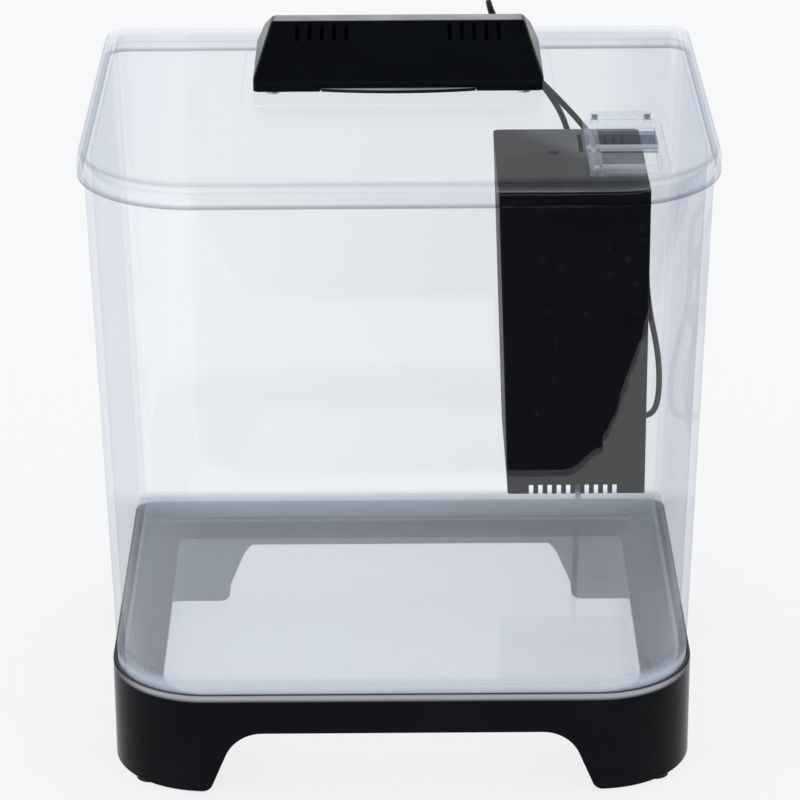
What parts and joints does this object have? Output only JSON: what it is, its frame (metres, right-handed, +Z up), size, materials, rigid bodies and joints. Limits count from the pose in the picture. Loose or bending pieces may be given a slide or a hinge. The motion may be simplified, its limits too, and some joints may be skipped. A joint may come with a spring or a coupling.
{
  "type": "desktop aquarium",
  "caption": "Small clear plastic aquarium on a black legged base, with a lift-off lid, LED lamp, feeding flap and internal pump filter.",
  "frame": {"origin": "on the table, under the middle of the lid's outline", "axes": "+Z up, +X to the right seen from the front, -Y towards the front"},
  "size_m": [0.249, 0.2699, 0.284],
  "materials": {
    "clear_plastic": "clear, polished",
    "black_gloss": "moulded, glossy",
    "black_satin": "moulded, satin",
    "black_rubber": "matte",
    "frosted_lens": "frosted",
    "screw_steel": "bright",
    "board_white": "solder mask",
    "led_yellow": "phosphor",
    "grey_plastic": "moulded",
    "core_steel": "laminated",
    "copper_winding": "enamelled wire",
    "magnet_ferrite": "ground",
    "impeller_white": "moulded",
    "foam_grey": "open-cell foam",
    "floss_white": "fibre floss",
    "carbon_mesh": "mesh pouch of granules",
    "lead_black": "soft cable sheath",
    "tie_black": "moulded"
  },
  "bodies": {
    "tank": {"tank_shell": "clear_plastic", "base_ring": "black_gloss", "foot_pads": "black_rubber", "filter_housing": "black_satin", "filter_top_cover": "black_satin", "suction_cups": "black_rubber", "pump_motor_case": "grey_plastic", "pump_rear_cap": "grey_plastic", "stator_core": "core_steel", "stator_coil": "copper_winding", "impeller_shaft": "screw_steel", "front_bush": "black_rubber", "rear_bush": "black_rubber", "volute_cover": "grey_plastic", "riser_tube": "grey_plastic", "bio_foam": "foam_grey", "lead_gland": "black_rubber", "pump_lead": "lead_black", "pump_lead_coil": "lead_black", "pump_lead_tail": "lead_black", "lead_tie": "tie_black", "plug_body": "lead_black", "plug_shell": "screw_steel", "plug_tongue": "impeller_white"},
    "lid": {"lid_panel": "clear_plastic", "lamp_housing": "black_gloss", "lamp_base_plate": "black_satin", "lamp_lens": "frosted_lens", "lamp_screws": "screw_steel", "led_board": "board_white", "led_chips": "led_yellow", "board_screws": "screw_steel", "switch_body": "black_satin", "power_inlet": "black_satin", "inlet_pin": "screw_steel", "lamp_wires": "lead_black"},
    "feeding_flap": {"feeding_flap": "clear_plastic"},
    "switch_button": {"switch_button": "grey_plastic"},
    "impeller": {"rotor_magnet": "magnet_ferrite", "impeller": "impeller_white"},
    "flow_dial": {"flow_dial": "black_satin"},
    "filter_front": {"filter_front_cover": "black_satin", "cartridge_frame": "impeller_white", "cartridge_floss": "floss_white", "carbon_pouch": "carbon_mesh"}
  },
  "joints": [
    {"name": "lid_lift", "type": "slide", "parent": "tank", "child": "lid", "axis": [0, 0, 1], "range_m": [0, 0.06]},
    {"name": "flap_hinge", "type": "hinge", "parent": "lid", "child": "feeding_flap", "pos_m": [0.08675, -0.036, 0.2663], "axis": [-1, 0, 0], "range_deg": [0, 110]},
    {"name": "button_press", "type": "slide", "parent": "lid", "child": "switch_button", "axis": [0, -1, 0], "range_m": [0, 0.0015], "stiffness_N_per_m": 700, "springref_m": -0.001},
    {"name": "impeller_spin", "type": "hinge", "parent": "tank", "child": "impeller", "pos_m": [0.074, 0.066, 0.108], "axis": [0, 1, 0], "continuous": true},
    {"name": "flow_dial_turn", "type": "hinge", "parent": "tank", "child": "flow_dial", "pos_m": [0.074, 0.0516, 0.108], "axis": [0, 1, 0], "range_deg": [0, 45]},
    {"name": "filter_front_lift", "type": "slide", "parent": "tank", "child": "filter_front", "axis": [0, 0, 1], "range_m": [0, 0.03]}
  ]
}
